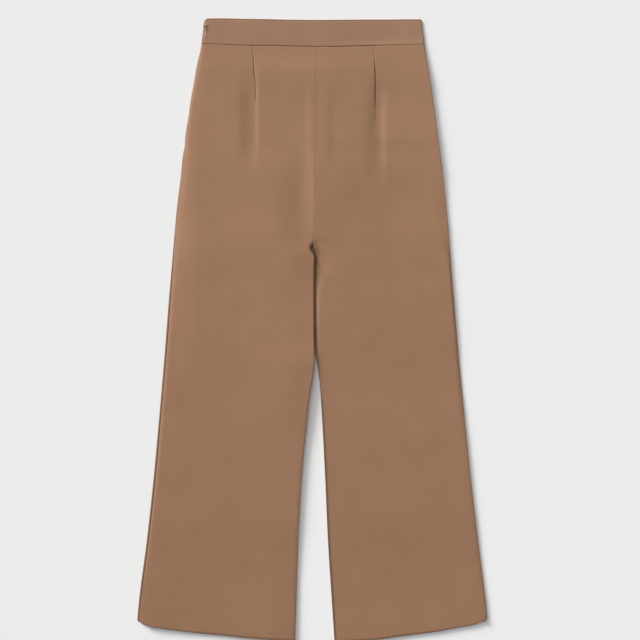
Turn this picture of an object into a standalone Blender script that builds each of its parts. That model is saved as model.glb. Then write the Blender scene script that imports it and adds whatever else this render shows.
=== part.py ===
"""Wide-leg trousers laid flat with their back upwards, made as the cut pieces that are sewn together.

Each leg is a back panel and a front panel. They meet at the outseam and the inseam, half way up the
rounded fold that the laid cloth makes there. The two legs meet at the centre seam, down to the
crotch. One waistband goes round the waist from the side zip and back to it.
Tables and sizes are in millimetres. "down" is the distance below the waistband's upper edge, and
"across" is the share of the way from the outseam to the centre seam or inseam.
"""

from collections import namedtuple
import math

import bmesh
import bpy
import numpy as np

MM = 0.001

# Driving sizes
TOTAL_LENGTH = 1015.8    # upper edge of the waistband to the longest point of the hem
MIDDLE_X = -0.35         # half way between the two outer corners of the hems
WALL = 1.1               # one ply of heavy crepe
TURN_UP_WALL = 2.0       # two plies, where the hem is turned up inside
TURN_UP = 43.0
BAND_WALL = 2.0          # the waistband is folded double
SEAM_GAP = 0.3
FOLD_HEIGHT = 5.6        # the front and back together at a rounded side fold
MID = FOLD_HEIGHT / 2    # side seams run half way up the fold
LEG_HEIGHT = 4.7         # in the middle of a leg, where the panels lie closer
WAIST_HEIGHT = 5.3       # beside the waistband
HEM_HEIGHT = 5.1
FOLD_FADE = 26.0         # the fold's fullness dies away over this width
CROTCH_DIP_START = 352.0 # here the centre seam starts to sink between the legs
CROTCH = 386.0
DART_DEPTH = 0.5
DART_LENGTH = 100.0
DART_HALF_WIDTH = 5.0
DART_ACROSS = 0.5        # the column of points that follows the dart
SEAM_GROOVE = 0.5

# Side zip and its slider
ZIP_LENGTH = 207.0
ZIP_TAPE_WIDTH = 17.0
ZIP_TAPE_WALL = 0.8
ZIP_OPENING = 1.5        # the band's two ends stand this far apart, where the slider sits
SLIDER_DOWN = 10.5
SLIDER_DEPTH = 3.4
SLIDER_WALL = 0.6
PAD_RISE = 3.42          # middle of the slider's upper plate over the seam
EAR_GAP = 0.35
EAR_WALL = 0.7
BAR_RADIUS = 0.4
BAR_RISE = 5.12          # height of the pull's pivot over the seam
RING_INNER = 0.65
RING_OUTER = 1.1
RING_WIDTH = 1.6
PULL_ACROSS = 2.9        # from the outermost edge of the fold to the middle of the pull
PULL_LENGTH = 19.0
PULL_WIDTH = 4.0
PULL_WALL = 0.7
PULL_NECK = 0.62         # half width of the tab where it joins its ring

OutseamRow = namedtuple("OutseamRow", "down left right")
OUTSEAM = [
    OutseamRow(0.0, -177, 177.6),
    OutseamRow(44, -182.1, 182.8),
    OutseamRow(83, -190.4, 188.8),
    OutseamRow(132, -198.7, 196.2),
    OutseamRow(197, -208.4, 204.8),
    OutseamRow(262, -216.1, 213.0),
    OutseamRow(328, -223.4, 220.1),
    OutseamRow(377, -227.7, 223.9),
    OutseamRow(458, -234.7, 230.5),
    OutseamRow(556, -242.4, 238.8),
    OutseamRow(654, -250.9, 248.1),
    OutseamRow(751, -259.9, 257.9),
    OutseamRow(849, -270.5, 269.5),
    OutseamRow(947, -283.2, 281.6),
    OutseamRow(980, -286.2, 285.2),
]

CentreRow = namedtuple("CentreRow", "down x")
CENTRE_SEAM = [
    CentreRow(44, 8),
    CentreRow(65, 6.8),
    CentreRow(91, 4.9),
    CentreRow(165, 4.5),
    CentreRow(295, 4.2),
    CentreRow(331, 3.4),
    CentreRow(347, 1.7),
    CentreRow(360, 0.3),
    CentreRow(373, -0.9),
    CentreRow(CROTCH, 4.9),
]

InseamRow = namedtuple("InseamRow", "down left right")
INSEAM = [
    InseamRow(CROTCH, 4.9, 4.9),
    InseamRow(396, 4.1, 5.1),
    InseamRow(409, 3.6, 4.9),
    InseamRow(440, 3.3, 4.5),
    InseamRow(523, 2.9, 4.4),
    InseamRow(550, 2.4, 5),
    InseamRow(557, 2.1, 6.2),
    InseamRow(566, 1.6, 7.8),
    InseamRow(578, 0.6, 9.6),
    InseamRow(590, -0.9, 11),
    InseamRow(604, -3.1, 12.3),
    InseamRow(621, -5.6, 13.4),
    InseamRow(654, -9, 15.4),
    InseamRow(751, -18, 20.4),
    InseamRow(849, -23.4, 24.8),
    InseamRow(947, -26.4, 31.1),
    InseamRow(1016, -28.8, 35.6),
]

# The waistband's two long edges bow a little, as they do when the waist is laid flat.
BandRow = namedtuple("BandRow", "x upper seam")
BAND_EDGES = [
    BandRow(-182, 0.0, 40.2),
    BandRow(-150, 0.0, 41.1),
    BandRow(-109, 0.5, 42.8),
    BandRow(-76, 1.0, 43.2),
    BandRow(-43, 1.9, 43.6),
    BandRow(-20, 2.1, 44.2),
    BandRow(22, 2.2, 44.9),
    BandRow(54, 1.7, 44.2),
    BandRow(120, 1.2, 42.6),
    BandRow(185, 0.9, 41),
]

# The hem bows from its outer corner down to the inseam: the share of that drop, across the leg.
HemRow = namedtuple("HemRow", "across left right")
HEM = [
    HemRow(0.0, 0.0, 0.0),
    HemRow(0.04, 0.165, 0.145),
    HemRow(0.1, 0.29, 0.25),
    HemRow(0.18, 0.4, 0.352),
    HemRow(0.3, 0.53, 0.524),
    HemRow(0.44, 0.65, 0.655),
    HemRow(0.6, 0.782, 0.79),
    HemRow(0.72, 0.865, 0.89),
    HemRow(1.0, 1.0, 1.0),
]
HEM_OUTER_DOWN = {"left": 984.2, "right": 980.0}
HEM_INNER_DOWN = {"left": 1014.2, "right": 1015.8}

DartRow = namedtuple("DartRow", "down left right")
DART = [
    DartRow(44, -97.0, 99.8),
    DartRow(83, -95.4, 101.8),
    DartRow(108, -92.9, 103.0),
    DartRow(143, -92.8, 104.0),
    DartRow(300, -92.0, 108.0),
    DartRow(1016, -146.0, 152.0),
]

# Soft folds of the back: where each runs, how wide it is and how far it stands up or sinks.
SoftFold = namedtuple("SoftFold", "x start end width rise")
SOFT_FOLDS = [
    SoftFold(-92, 120, 300, 11, 0.45),
    SoftFold(-110, 110, 260, 9, -0.40),
    SoftFold(-4, 110, 380, 9, 0.45),
    SoftFold(-30, 240, 370, 16, -0.55),
    SoftFold(26, 165, 270, 8, -0.40),
    SoftFold(92, 110, 190, 8, -0.35),
    SoftFold(116, 120, 290, 12, 0.40),
    SoftFold(-196, 90, 360, 9, 0.25),
    SoftFold(205, 150, 380, 12, 0.25),
]

# Outer face of a rounded fold, from the seam half way up it to the laid cloth.
FoldRow = namedtuple("FoldRow", "inward rise spread")
FOLD = [
    FoldRow(0.0, SEAM_GAP / 2 / MID, 0.0),
    FoldRow(0.0, 0.36, 1.2),
    FoldRow(0.7, 0.70, 3.0),
    FoldRow(1.8, 0.92, 6.0),
    FoldRow(3.6, 1.00, 11.0),
]

BACK_FLAT_COLUMNS = [0.035, 0.10, 0.19, 0.30, 0.40, 0.47, 0.50, 0.53, 0.60, 0.70, 0.80, 0.88]
FRONT_FLAT_COLUMNS = [0.035, 0.12, 0.30, 0.50, 0.70, 0.88]
BAND_FLAT_COLUMNS = [0.07, 0.20, 0.35, 0.50, 0.65, 0.80, 0.93]


def curve_through(table, key, value):
    """Smooth function that passes through one column of a table without overshooting it."""
    x = np.array([getattr(row, key) for row in table], float)
    y = np.array([getattr(row, value) for row in table], float)
    step = np.diff(x)
    slope = np.diff(y) / step
    tangent = np.empty(len(x))
    tangent[0], tangent[-1] = slope[0], slope[-1]
    for i in range(1, len(x) - 1):
        before, after = slope[i - 1], slope[i]
        tangent[i] = 0 if before * after <= 0 else 2 * before * after / (before + after)

    def value_at(place):
        place = min(max(place, x[0]), x[-1])
        i = min(int(np.searchsorted(x, place, side="right")) - 1, len(step) - 1)
        t = (place - x[i]) / step[i]
        start = y[i] + (y[i + 1] - y[i]) * t * t * (3 - 2 * t)
        return start + step[i] * t * (1 - t) * ((1 - t) * tangent[i] - t * tangent[i + 1])

    return value_at


def ease(low, high, place):
    """0 below low, 1 above high, and smooth between them."""
    t = min(max((place - low) / (high - low), 0.0), 1.0)
    return t * t * (3 - 2 * t)


band_upper = curve_through(BAND_EDGES, "x", "upper")
band_seam = curve_through(BAND_EDGES, "x", "seam")
hem_drop = {side: curve_through(HEM, "across", side) for side in ("left", "right")}
centre_seam = curve_through(CENTRE_SEAM, "down", "x")
outseam = {side: curve_through(OUTSEAM, "down", side) for side in ("left", "right")}
inseam = {side: curve_through(INSEAM, "down", side) for side in ("left", "right")}
dart = {side: curve_through(DART, "down", side) for side in ("left", "right")}
INWARD = {"left": 1, "right": -1}


def place(x, down, z):
    """Millimetres on the laid garment to metres in the part's frame."""
    return (MM * (x - MIDDLE_X), MM * (TOTAL_LENGTH / 2 - down), MM * z)


def inner_edge(side, down):
    """The panel's inner edge: half a seam's gap short of the centre seam, then the inseam."""
    line = centre_seam(down) if down < CROTCH else inseam[side](down)
    return line - INWARD[side] * SEAM_GAP / 2


def back_height(side, x, down):
    """Height of the upper face of a back panel where it lies flat."""
    from_outseam = abs(x - outseam[side](down))
    from_inseam = abs(x - inner_edge(side, down)) if down > CROTCH else FOLD_FADE * 2
    nearest = min(from_outseam, from_inseam)
    height = LEG_HEIGHT + (FOLD_HEIGHT - LEG_HEIGHT) * math.exp(-((nearest / FOLD_FADE) ** 2))
    for fold in SOFT_FOLDS:
        along = ease(fold.start, fold.start + 50, down) * (1 - ease(fold.end - 60, fold.end, down))
        height += fold.rise * along * math.exp(-(((x - fold.x) / fold.width) ** 2))
    from_waist = ease(44, 95, down)
    height = WAIST_HEIGHT + (height - WAIST_HEIGHT) * from_waist
    from_hem = 1 - ease(HEM_OUTER_DOWN[side] - 90, HEM_OUTER_DOWN[side] - 20, down)
    return HEM_HEIGHT + (height - HEM_HEIGHT) * from_hem


def rows_of(inner_start, inner_end):
    """Places of a panel's rows along its inner edge, closer together where the form turns."""
    stretches = [
        (inner_start, CROTCH_DIP_START, 13),
        (CROTCH_DIP_START, CROTCH, 6),
        (CROTCH, inner_end - TURN_UP, 16),
        (inner_end - TURN_UP, inner_end, 3),
    ]
    rows = [inner_start]
    for start, end, count in stretches:
        rows += [start + (end - start) * (i + 1) / count for i in range(count)]
    return rows


def warp_to_dart(side, down, across):
    """Moves the column at DART_ACROSS onto the dart, and its neighbours with it."""
    start, end = outseam[side](down), inner_edge(side, down)
    target = (dart[side](down) - start) / (end - start)
    beside = DART_HALF_WIDTH / abs(end - start)
    offset = across - DART_ACROSS
    if abs(offset) < 0.04:
        return target + math.copysign(beside, offset) * (offset != 0)
    if offset < 0:
        return across / DART_ACROSS * target
    return target + (across - DART_ACROSS) / (1 - DART_ACROSS) * (1 - target)


def panel_point(side, layer, share, column):
    """Outer face of a panel at this share of its length, on one of its columns."""
    kind, across, fold = column
    up = 1 if layer == "back" else -1
    waist_x = outseam[side](42) + (inner_edge(side, 44) - outseam[side](42)) * across
    upper = band_seam(waist_x) + SEAM_GAP
    bowed = ease(0.55, 1.0, share)
    drop = across + (hem_drop[side](across) - across) * bowed
    lower = HEM_OUTER_DOWN[side] + (HEM_INNER_DOWN[side] - HEM_OUTER_DOWN[side]) * drop
    down = upper + (lower - upper) * share
    start, end = outseam[side](down), inner_edge(side, down)
    groove = 0.0
    if kind == "flat":
        warped = warp_to_dart(side, down, across) if layer == "back" else across
        x, rise = start + (end - start) * warped, 1.0
        if layer == "back" and across == DART_ACROSS:
            groove = DART_DEPTH * (1 - ease(DART_LENGTH - 10, DART_LENGTH + 45, down))
    elif kind == "outseam":
        x, rise = start + INWARD[side] * fold.inward, fold.rise
    else:
        folded = ease(CROTCH_DIP_START, CROTCH, down)
        spread = fold.inward * folded + fold.spread * (1 - folded)
        x, rise = end - INWARD[side] * spread, fold.rise * folded + 1 - folded
        if fold.spread == 0:
            groove = SEAM_GROOVE * (1 - folded)
    half = (back_height(side, x, down) if layer == "back" else FOLD_HEIGHT) - MID
    return place(x, down, MID + up * (half * rise - groove))


def sheet_from_grid(name, point_at, column_count, row_count, upward, collection):
    """A flat grid whose points are moved to where point_at puts them; it becomes a wall later."""
    mesh = bpy.data.meshes.new(name)
    grid = bmesh.new()
    bmesh.ops.create_grid(grid, x_segments=column_count - 1, y_segments=row_count - 1, size=0.5)
    for point in grid.verts:
        column = round((point.co.x + 0.5) * (column_count - 1))
        row = round((point.co.y + 0.5) * (row_count - 1))
        point.co = point_at(column, row)
    grid.normal_update()
    if (sum(face.normal.z * face.calc_area() for face in grid.faces) > 0) != upward:
        bmesh.ops.reverse_faces(grid, faces=grid.faces)
    grid.to_mesh(mesh)
    grid.free()
    mesh.shade_smooth()
    sheet = bpy.data.objects.new(name, mesh)
    collection.objects.link(sheet)
    return sheet


def thicken(sheet, wall, offset=-1.0):
    solid = sheet.modifiers.new("Wall", "SOLIDIFY")
    solid.thickness = wall * MM
    solid.offset = offset
    return solid


def thicken_turn_up(sheet, column_count, row_count, turn_up_rows):
    """Two plies over the turn-up and one above it: the group holds each point's share."""
    group = sheet.vertex_groups.new(name="plies")
    for point in range(column_count * row_count):
        row = point // column_count
        share = 1.0 if row >= row_count - turn_up_rows else WALL / TURN_UP_WALL
        group.add([point], share, "REPLACE")
    solid = thicken(sheet, TURN_UP_WALL)
    solid.vertex_group = "plies"


def make_panel(side, layer, collection, material):
    flats = BACK_FLAT_COLUMNS if layer == "back" else FRONT_FLAT_COLUMNS
    columns = [("outseam", 0.0, fold) for fold in FOLD]
    columns += [("flat", across, None) for across in flats]
    columns += [("inseam", 1.0, fold) for fold in reversed(FOLD)]
    start, end = band_seam(centre_seam(44)) + SEAM_GAP, HEM_INNER_DOWN[side]
    shares = [(row - start) / (end - start) for row in rows_of(start, end)]
    sheet = sheet_from_grid(
        f"{layer}_{side}_leg",
        lambda column, row: panel_point(side, layer, shares[row], columns[column]),
        len(columns),
        len(shares),
        layer == "back",
        collection,
    )
    thicken_turn_up(sheet, len(columns), len(shares), turn_up_rows=4)
    sheet.data.materials.append(material)


def make_waistband(collection, material):
    """One strip: under the waist from the zip to the other side, round the fold there, and back."""
    open_rise = ZIP_OPENING / 2 / MID
    ends = [FoldRow(0.0, open_rise, 0), FoldRow(0.0, open_rise + 0.16, 0)] + FOLD[2:]
    path = [("left", -1, row) for row in ends]
    path += [(across, -1, None) for across in BAND_FLAT_COLUMNS]
    path += [("right", -1, row) for row in reversed(FOLD[1:])]
    path += [("right", 1, row) for row in FOLD[1:]]
    path += [(across, 1, None) for across in reversed(BAND_FLAT_COLUMNS)]
    path += [("left", 1, row) for row in reversed(ends)]
    levels = [0.0, 0.08, 0.5, 1.0]

    def point_at(column, row):
        where, up, fold = path[column]
        level = levels[row]
        guess = 42 * level
        left, right = outseam["left"](guess), outseam["right"](guess)
        if where in ("left", "right"):
            x = outseam[where](guess) + INWARD[where] * fold.inward
            rise = fold.rise
        else:
            x, rise = left + (right - left) * where, 1.0
        down = band_upper(x) + (band_seam(x) - band_upper(x)) * level
        return place(x, down, MID + up * rise * MID)

    sheet = sheet_from_grid("waistband", point_at, len(path), len(levels), True, collection)
    face_outward(sheet)
    thicken(sheet, BAND_WALL)
    sheet.data.materials.append(material)


def face_outward(sheet):
    """The strip goes under and over, so its upper face decides which way all of it looks."""
    mesh = sheet.data
    top = max(mesh.polygons, key=lambda face: face.center.z)
    if top.normal.z < 0:
        mesh.flip_normals()


def make_zip_tape(collection, material):
    """The closed zip and its tapes: a flat strip inside the fold, from under the slider down."""
    first, rows = SLIDER_DOWN + SLIDER_DEPTH, 12
    inset = BAND_WALL + 1.0

    def point_at(column, row):
        down = first + (ZIP_LENGTH - first) * row / (rows - 1)
        return place(outseam["left"](down) + inset + column * ZIP_TAPE_WIDTH, down, MID)

    sheet = sheet_from_grid("zip_tape", point_at, 2, rows, True, collection)
    thicken(sheet, ZIP_TAPE_WALL, 0.0)
    sheet.data.materials.append(material)


def joined(target, tool):
    """Boolean union that takes the tool into the target, so that both are one closed body."""
    union = target.modifiers.new("Join " + tool.name, "BOOLEAN")
    union.operation = "UNION"
    union.object = tool
    tool.hide_render = True
    tool.display_type = "WIRE"


def box_object(name, low, high, collection):
    mesh = bpy.data.meshes.new(name)
    shape = bmesh.new()
    bmesh.ops.create_cube(shape, size=1.0)
    for point in shape.verts:
        point.co = [low[i] + (high[i] - low[i]) * (point.co[i] + 0.5) for i in range(3)]
    shape.to_mesh(mesh)
    shape.free()
    box = bpy.data.objects.new(name, mesh)
    collection.objects.link(box)
    return box


def rod_along_x(name, radius, length, segments, collection):
    mesh = bpy.data.meshes.new(name)
    shape = bmesh.new()
    bmesh.ops.create_cone(
        shape, cap_ends=True, segments=segments, radius1=radius, radius2=radius, depth=length
    )
    for point in shape.verts:
        point.co = (point.co.z, point.co.x, point.co.y)
    bmesh.ops.recalc_face_normals(shape, faces=shape.faces)
    shape.to_mesh(mesh)
    shape.free()
    rod = bpy.data.objects.new(name, mesh)
    collection.objects.link(rod)
    return rod


def make_slider(collection, cutters, material):
    """A bent strip: a plate between the tapes, out through the seam and over the fold, with two
    ears on top that hold the pull's bar. Its origin is on the bar's axis."""
    edge = outseam["left"](SLIDER_DOWN)
    bar = place(edge + PULL_ACROSS, SLIDER_DOWN, MID + BAR_RISE)
    clear = 0.35 + SLIDER_WALL / 2
    bend = [
        (7.0, 0.0),
        (-clear, 0.0),
        (-clear, 1.0),
        (0.1, 2.5),
        (1.3, 3.2),
        (3.0, PAD_RISE),
        (6.4, PAD_RISE),
    ]

    def point_at(column, row):
        inward, rise = bend[column]
        y = (row - 0.5) * SLIDER_DEPTH
        return ((inward - PULL_ACROSS) * MM, y * MM, (rise - BAR_RISE) * MM)

    slider = sheet_from_grid("zip_slider", point_at, len(bend), 2, True, collection)
    face_outward(slider)
    slider.location = bar
    solid = thicken(slider, SLIDER_WALL, 0.0)
    solid.use_even_offset = True
    ear_inner, ear_base = RING_WIDTH / 2 + EAR_GAP, PAD_RISE - 0.27 - BAR_RISE
    for sign in (-1, 1):
        near, far = sorted((sign * ear_inner, sign * (ear_inner + EAR_WALL)))
        low = (near * MM, -0.9 * MM, ear_base * MM)
        high = (far * MM, 0.9 * MM, 0.7 * MM)
        ear = box_object(f"ear_{sign + 1}", low, high, cutters)
        ear.location = bar
        joined(slider, ear)
    rod = rod_along_x("bar", BAR_RADIUS * MM, 2 * (ear_inner + 0.4) * MM, 12, cutters)
    rod.location = bar
    joined(slider, rod)
    slider.data.materials.append(material)
    return bar


def make_pull(bar, collection, cutters, material):
    """A drop-shaped tab with a ring at its narrow end, which turns on the slider's bar."""
    outline = bpy.data.curves.new("drop", "CURVE")
    outline.dimensions = "2D"
    outline.fill_mode = "BOTH"
    outline.extrude = PULL_WALL / 2 * MM
    steps = 20
    spline = outline.splines.new("POLY")
    spline.points.add(2 * steps - 1)
    spline.use_cyclic_u = True
    for i in range(2 * steps):
        turn = math.pi * (i + 0.5) / steps
        along = (1 - math.cos(turn)) / 2
        width = PULL_NECK + (PULL_WIDTH / 2 - PULL_NECK) * ease(0.05, 0.72, along)
        width *= math.sqrt(max(0.0, 1 - max(0.0, (along - 0.72) / 0.28) ** 2))
        x = math.copysign(width, math.sin(turn))
        spline.points[i].co = (x * MM, -(RING_INNER + 0.2 + along * PULL_LENGTH) * MM, 0, 1)
    drop = bpy.data.objects.new("drop", outline)
    graph = bpy.context.evaluated_depsgraph_get()
    cutters.objects.link(drop)
    graph.update()
    flat = bpy.data.meshes.new_from_object(drop.evaluated_get(graph))
    bpy.data.objects.remove(drop)
    shape = bmesh.new()
    shape.from_mesh(flat)
    bmesh.ops.remove_doubles(shape, verts=shape.verts, dist=1e-6)
    fall = math.asin((BAR_RISE - MID - SEAM_GAP - PULL_WALL / 2 - 0.1) / (PULL_LENGTH + RING_INNER))
    for point in shape.verts:
        y, z = point.co.y, point.co.z
        point.co.y = y * math.cos(fall) - z * math.sin(fall)
        point.co.z = y * math.sin(fall) + z * math.cos(fall)
    bmesh.ops.recalc_face_normals(shape, faces=shape.faces)
    shape.to_mesh(flat)
    shape.free()
    tab = bpy.data.objects.new("tab", flat)
    cutters.objects.link(tab)
    tab.location = bar

    pull = rod_along_x("zip_pull", RING_OUTER * MM, RING_WIDTH * MM, 20, collection)
    pull.location = bar
    joined(pull, tab)
    hole = rod_along_x("ring_hole", RING_INNER * MM, 3 * RING_WIDTH * MM, 20, cutters)
    hole.location = bar
    cut = pull.modifiers.new("Hole", "BOOLEAN")
    cut.operation = "DIFFERENCE"
    cut.object = hole
    hole.hide_render = True
    hole.display_type = "WIRE"
    pull.data.materials.append(material)


def make_material(name, colour, roughness, metallic=0.0):
    material = bpy.data.materials.new(name)
    material.use_nodes = True
    shader = material.node_tree.nodes["Principled BSDF"]
    shader.inputs["Base Color"].default_value = (*colour, 1.0)
    shader.inputs["Roughness"].default_value = roughness
    shader.inputs["Metallic"].default_value = metallic
    return material


def new_collection(name):
    collection = bpy.data.collections.new(name)
    bpy.context.scene.collection.children.link(collection)
    return collection


def main():
    for existing in list(bpy.data.objects):
        bpy.data.objects.remove(existing)
    trousers = new_collection("wide_leg_trousers")
    cutters = new_collection("cutters")
    crepe = make_material("camel crepe", (0.337, 0.191, 0.120), 0.85)
    band_crepe = make_material("camel crepe, interlined", (0.350, 0.202, 0.129), 0.85)
    tape = make_material("woven zip tape", (0.260, 0.150, 0.095), 0.8)
    enamel = make_material("enamelled zinc", (0.340, 0.225, 0.165), 0.4)
    for side in ("left", "right"):
        make_panel(side, "back", trousers, crepe)
        make_panel(side, "front", trousers, crepe)
    make_waistband(trousers, band_crepe)
    make_zip_tape(trousers, tape)
    bar = make_slider(trousers, cutters, enamel)
    make_pull(bar, trousers, cutters, enamel)


main()
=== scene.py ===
# %% [markdown]
# # Wide-leg trousers, laid flat
# A pair of high-waisted trousers in camel crepe, lying on its front with its back up. The packed
# model gives the cut pieces as plain walls. Here each of them is sewn again as a thin sheet with
# rolled seams, pressed darts, turned-up hems and the soft folds that the cloth keeps when it is
# laid down. Everything is in metres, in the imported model's own frame.

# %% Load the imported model
import math

import bpy
import numpy as np
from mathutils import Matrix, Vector


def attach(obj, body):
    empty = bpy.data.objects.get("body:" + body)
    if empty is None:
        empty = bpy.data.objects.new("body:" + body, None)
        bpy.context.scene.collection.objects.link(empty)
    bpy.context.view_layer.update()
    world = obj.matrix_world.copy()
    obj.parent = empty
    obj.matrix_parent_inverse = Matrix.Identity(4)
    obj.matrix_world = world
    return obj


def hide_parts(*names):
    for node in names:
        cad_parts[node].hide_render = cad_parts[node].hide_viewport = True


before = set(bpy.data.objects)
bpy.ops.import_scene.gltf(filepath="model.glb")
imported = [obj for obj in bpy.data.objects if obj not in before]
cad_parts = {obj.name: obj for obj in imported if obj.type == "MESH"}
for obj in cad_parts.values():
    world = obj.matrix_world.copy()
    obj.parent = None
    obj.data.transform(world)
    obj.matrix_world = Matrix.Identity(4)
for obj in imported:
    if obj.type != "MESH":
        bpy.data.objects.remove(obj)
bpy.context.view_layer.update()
bpy.ops.object.select_all(action="DESELECT")
scene = bpy.context.scene
print("packed pieces:", sorted(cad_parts))

# %% [markdown]
# ## The sizes of the cut
# A cutter works in millimetres and reads a leg as a list of widths at heights. "down" is the
# distance below the waistband's upper edge, and x runs across the laid garment. A smooth curve goes
# through each column of a table, and never swings past the numbers in it.

# %% Overall sizes
MM = 0.001
TOTAL_LENGTH = 1015.8
MIDDLE_X = -0.35       # the middle of the outline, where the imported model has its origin
WAIST_SEAM = 44        # about how far down the waist seam lies
BAND_DEPTH = 42        # the finished waistband
CROTCH = 386.0
DIP_START = 363.0      # from here the centre seam sinks towards the crotch
CLOTH = 0.7            # one ply of crepe
SEAM_GAP = 0.3
CENTRE_GAP = 0.12
MID = 2.7              # height of the side seams over the floor
BAND_HEIGHT = 5.4
TURN_UP = 43.0
print("from the waist's edge to the hem", TOTAL_LENGTH, "mm")

# %% Cutting tables
OUTSEAM = {
    "down": [0, 44, 83, 132, 197, 262, 328, 377, 458, 556, 654, 751, 849, 947, 980],
    "left": [-177.0, -182.1, -190.4, -198.7, -208.4, -216.1, -223.4, -227.7,
             -234.7, -242.4, -250.9, -259.9, -270.5, -283.2, -286.2],
    "right": [177.6, 182.8, 188.8, 196.2, 204.8, 213.0, 220.1, 223.9,
              230.5, 238.8, 248.1, 257.9, 269.5, 281.6, 285.2],
}
CENTRE_SEAM = {
    "down": [44, 65, 91, 165, 295, 331, 347, 360, 373, CROTCH],
    "x": [8.0, 6.8, 4.9, 4.5, 4.2, 3.4, 1.7, 0.3, -0.9, 4.9],
}
INSEAM = {
    "down": [CROTCH, 396, 409, 440, 523, 550, 557, 566, 578,
             590, 604, 621, 654, 751, 849, 947, 1016],
    "left": [4.9, 4.4, 4.0, 3.7, 3.4, 2.9, 2.5, 1.8, 0.6,
             -1.2, -3.6, -6.2, -9.6, -18.6, -24.0, -27.0, -29.4],
    "right": [4.9, 4.8, 4.4, 4.1, 3.9, 4.9, 6.2, 7.8, 9.6,
              11.0, 12.3, 13.4, 15.4, 20.4, 24.8, 31.1, 35.6],
}
BAND_EDGES = {
    "x": [-182, -150, -109, -76, -43, -20, 22, 54, 120, 185],
    "upper": [0.0, -0.4, 0.5, 1.0, 1.9, 2.1, 2.2, 1.7, 1.2, 0.9],
    "seam": [40.2, 41.1, 42.8, 43.2, 43.6, 44.2, 44.9, 44.2, 42.6, 41.0],
}
HEM = {
    "across": [0.0, 0.015, 0.04, 0.10, 0.18, 0.30, 0.44, 0.60, 0.72, 1.0],
    "left": [0.0, 0.125, 0.21, 0.305, 0.40, 0.53, 0.65, 0.782, 0.865, 1.0],
    "right": [0.0, 0.07, 0.16, 0.265, 0.365, 0.524, 0.655, 0.79, 0.89, 1.0],
}
HEM_OUTER_DOWN = {"left": 984.2, "right": 980.0}
HEM_INNER_DOWN = {"left": 1014.2, "right": 1015.8}
HEM_ROUND = 1.1        # radius of the hem's folded edge
HEM_CORNER = 2.6       # and of the corner where it meets the side fold
DART = {
    "down": [44, 83, 108, 143, 300, 1016],
    "left": [-97.0, -95.4, -92.9, -92.8, -92.0, -146.0],
    "right": [99.8, 101.8, 103.0, 104.0, 108.0, 152.0],
}
INWARD = {"left": 1, "right": -1}


# %% Curves through the tables
def curve_through(table, key, value):
    """A smooth function through one column of a table, for single numbers and for arrays."""
    x, y = np.array(table[key], float), np.array(table[value], float)
    step = np.diff(x)
    slope = np.diff(y) / step
    product = slope[:-1] * slope[1:]
    total = slope[:-1] + slope[1:]
    inner = np.where(product > 0, 2 * product / np.where(total == 0, 1, total), 0)
    tangent = np.concatenate([[slope[0]], inner, [slope[-1]]])

    def value_at(place):
        place = np.clip(place, x[0], x[-1])
        i = np.clip(np.searchsorted(x, place, side="right") - 1, 0, len(step) - 1)
        t = (place - x[i]) / step[i]
        start = y[i] + (y[i + 1] - y[i]) * t * t * (3 - 2 * t)
        return start + step[i] * t * (1 - t) * ((1 - t) * tangent[i] - t * tangent[i + 1])

    return value_at


def ease(low, high, place):
    """Rises smoothly from 0 to 1 between the two limits."""
    t = np.clip((place - low) / (high - low), 0.0, 1.0)
    return t * t * (3 - 2 * t)


def curves_of(table):
    return {key: curve_through(table, "down", key) for key in table if key != "down"}


band_upper = curve_through(BAND_EDGES, "x", "upper")
band_seam = curve_through(BAND_EDGES, "x", "seam")
centre_seam = curve_through(CENTRE_SEAM, "down", "x")
outseam = {side: curve_through(OUTSEAM, "down", side) for side in INWARD}
inseam = {side: curve_through(INSEAM, "down", side) for side in INWARD}
dart = {side: curve_through(DART, "down", side) for side in INWARD}
hem_drop = {side: curve_through(HEM, "across", side) for side in INWARD}
print("waist", round(float(outseam["right"](0) - outseam["left"](0))), "mm across, laid flat")

# %% [markdown]
# ## The soft folds
# Laid cloth is never level. Between its side folds it stands up like a thin pillow. A simulation
# would find folds of its own, but these have to lie where the real ones do, so they are given one
# by one, as heights over the floor. The edges come first: how high each one stands, and how its
# rounded fold and its seam lie.

# %% Edges of the laid back
LEG_HEIGHT = 6.8
WAIST_HEIGHT = 5.4
WAIST_EASE = (WAIST_SEAM, 85)                     # from the waist's height to the leg's
INNER_EASE = (DIP_START - 8, DIP_START + 24)      # the inner edges take their own heights here
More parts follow.
